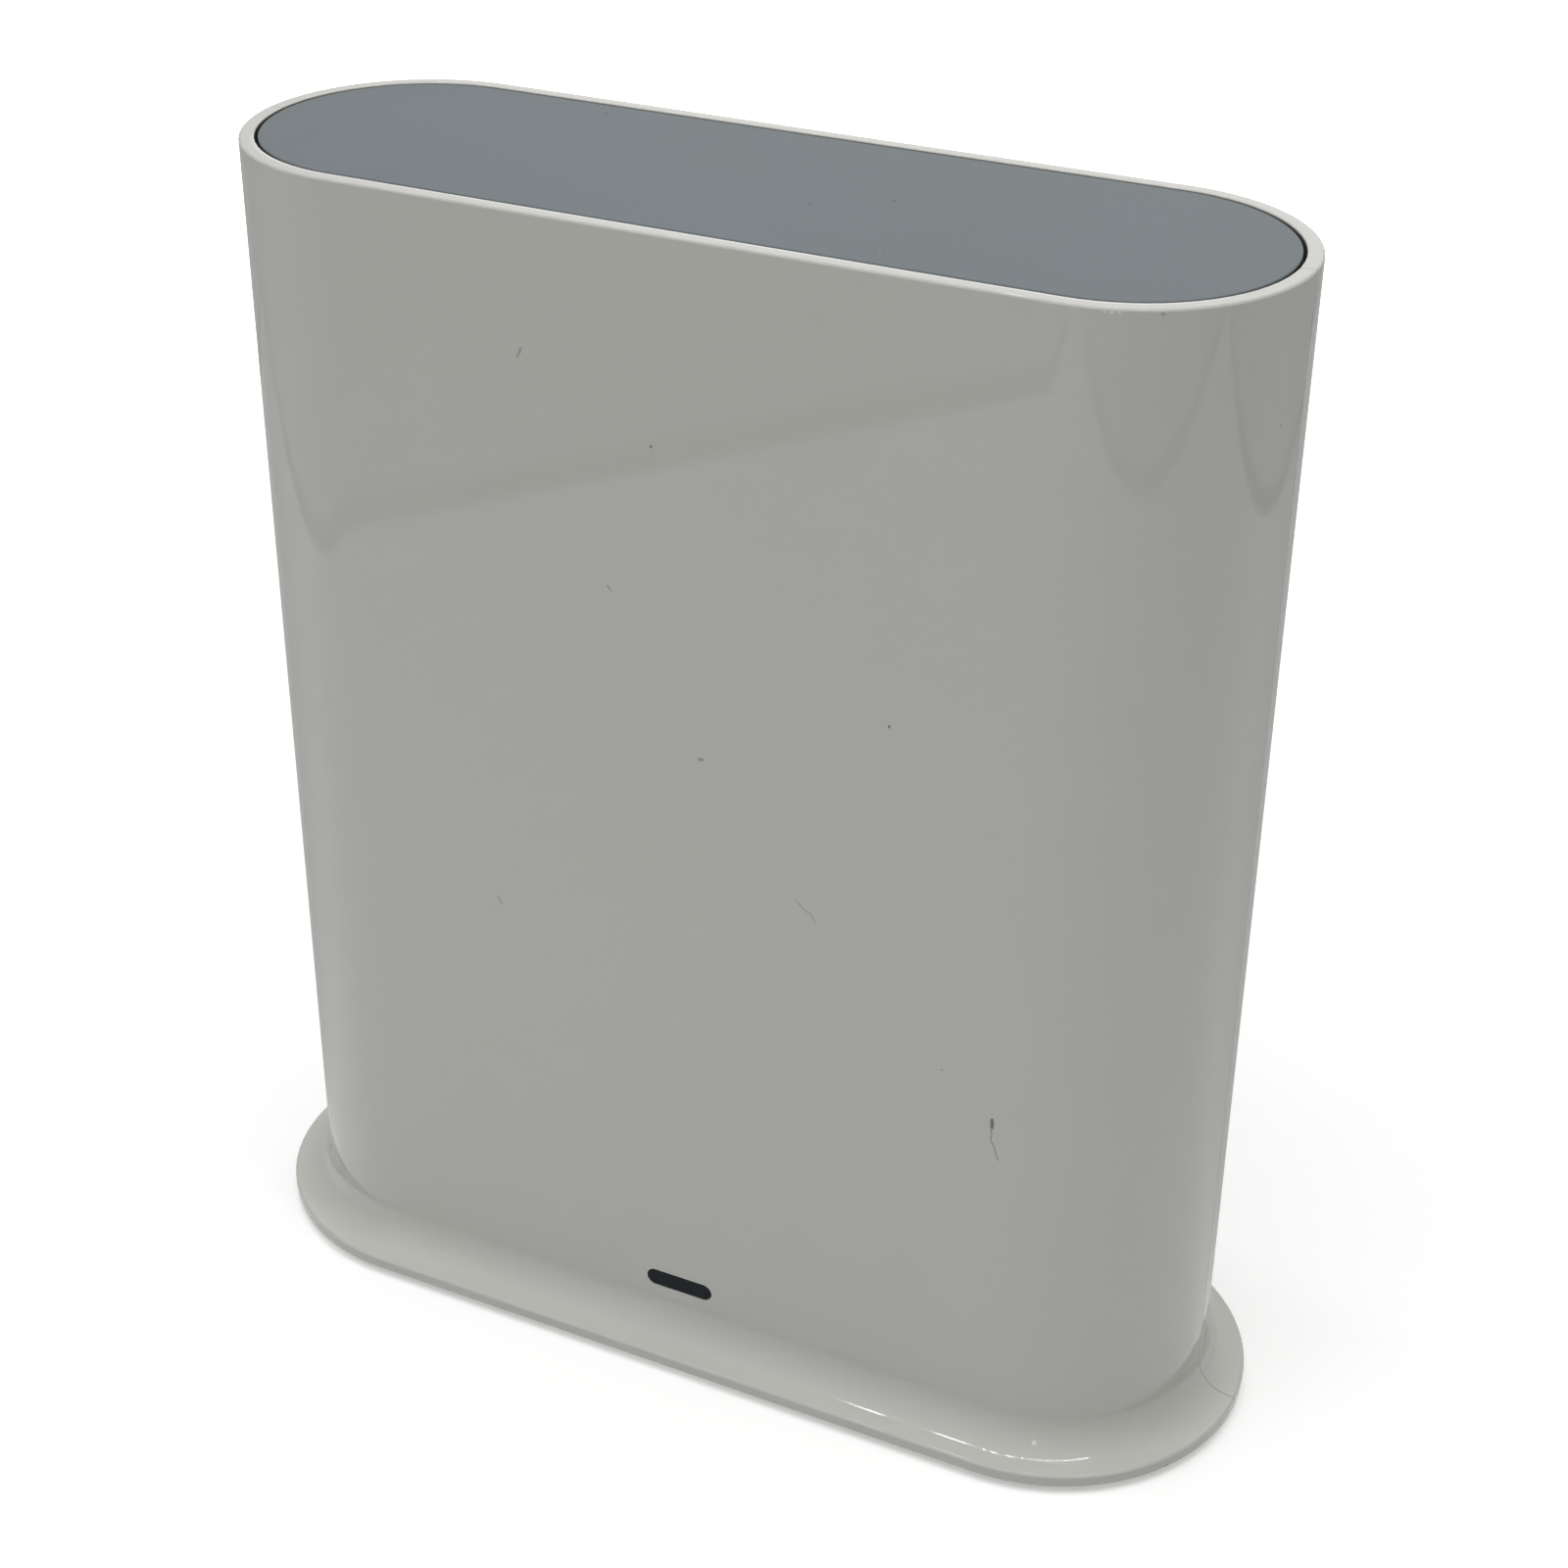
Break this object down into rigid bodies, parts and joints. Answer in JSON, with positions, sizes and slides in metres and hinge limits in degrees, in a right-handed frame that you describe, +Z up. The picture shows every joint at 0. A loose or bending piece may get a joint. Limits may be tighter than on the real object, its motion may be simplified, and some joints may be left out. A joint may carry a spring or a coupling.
{
  "type": "security camera base station",
  "caption": "Upright camera hub: flat body with round ends on a flared foot, inset grey top cover, front status light and a recessed rear panel of ports and push buttons.",
  "frame": {"origin": "middle of the ground area, level with the underside of the rubber feet", "axes": "+Z up, front with the status light towards -Y, +X to the right seen from the front"},
  "size_m": [0.1374, 0.051, 0.151],
  "materials": {
    "shell": "gloss moulded white",
    "cover": "satin moulded grey",
    "base": "fine textured white",
    "rubber": "matt black",
    "screw": "zinc plated",
    "lens": "smoked gloss",
    "clear": "clear moulded acrylic",
    "led": "white case",
    "panel": "satin moulded grey",
    "board": "green solder mask",
    "chip": "matt black epoxy",
    "pad": "soft thermal pad",
    "aluminium": "extruded",
    "shield": "tinned sheet",
    "bracket": "natural plastic",
    "contact": "gold plated",
    "cable": "black jacket",
    "socket_black": "black moulded",
    "socket_white": "white moulded",
    "lamp": "tinted window",
    "button": "moulded white",
    "plunger": "ivory plastic"
  },
  "bodies": {
    "case": {"front_shell": "shell", "rear_shell": "shell", "top_cover": "cover", "base_plate": "base", "rubber_feet": "rubber", "base_screws": "screw", "status_lens": "lens", "light_guide": "clear", "status_led": "led", "port_panel": "panel", "port_panel_screws": "screw", "main_board": "board", "board_screws": "screw", "processor": "chip", "memory_chips": "chip", "flash_chip": "chip", "thermal_pad": "pad", "heat_sink": "aluminium", "heat_sink_screws": "screw", "power_coils": "chip", "capacitors": "aluminium", "network_magnetics": "chip", "left_radio_chip": "chip", "right_radio_chip": "chip", "left_radio_shield": "shield", "right_radio_shield": "shield", "aerial_bracket": "bracket", "aerial_bracket_screws": "screw", "left_aerial": "board", "right_aerial": "board", "aerial_sockets": "contact", "aerial_plugs": "contact", "left_aerial_cable": "cable", "right_aerial_cable": "cable", "network_jack_can": "shield", "network_jack_insert": "socket_black", "network_jack_contacts": "contact", "network_jack_lamps": "lamp", "storage_port_shell": "shield", "storage_port_tongue": "socket_white", "storage_port_contacts": "contact", "power_jack": "socket_black", "power_jack_pin": "screw", "power_switch": "chip", "sync_switch": "chip", "reset_switch": "chip"},
    "power_push": {"power_button": "button", "power_plunger": "plunger"},
    "sync_push": {"sync_button": "button", "sync_plunger": "plunger"},
    "reset_push": {"reset_plunger": "plunger"}
  },
  "joints": [
    {"name": "power_press", "type": "slide", "parent": "case", "child": "power_push", "axis": [0, -1, 0], "range_m": [0, 0.0015], "stiffness_N_per_m": 600, "springref_m": -0.001},
    {"name": "sync_press", "type": "slide", "parent": "case", "child": "sync_push", "axis": [0, -1, 0], "range_m": [0, 0.0005], "stiffness_N_per_m": 800, "springref_m": -0.001},
    {"name": "reset_press", "type": "slide", "parent": "case", "child": "reset_push", "axis": [0, -1, 0], "range_m": [0, 0.0003], "stiffness_N_per_m": 800, "springref_m": -0.001}
  ]
}
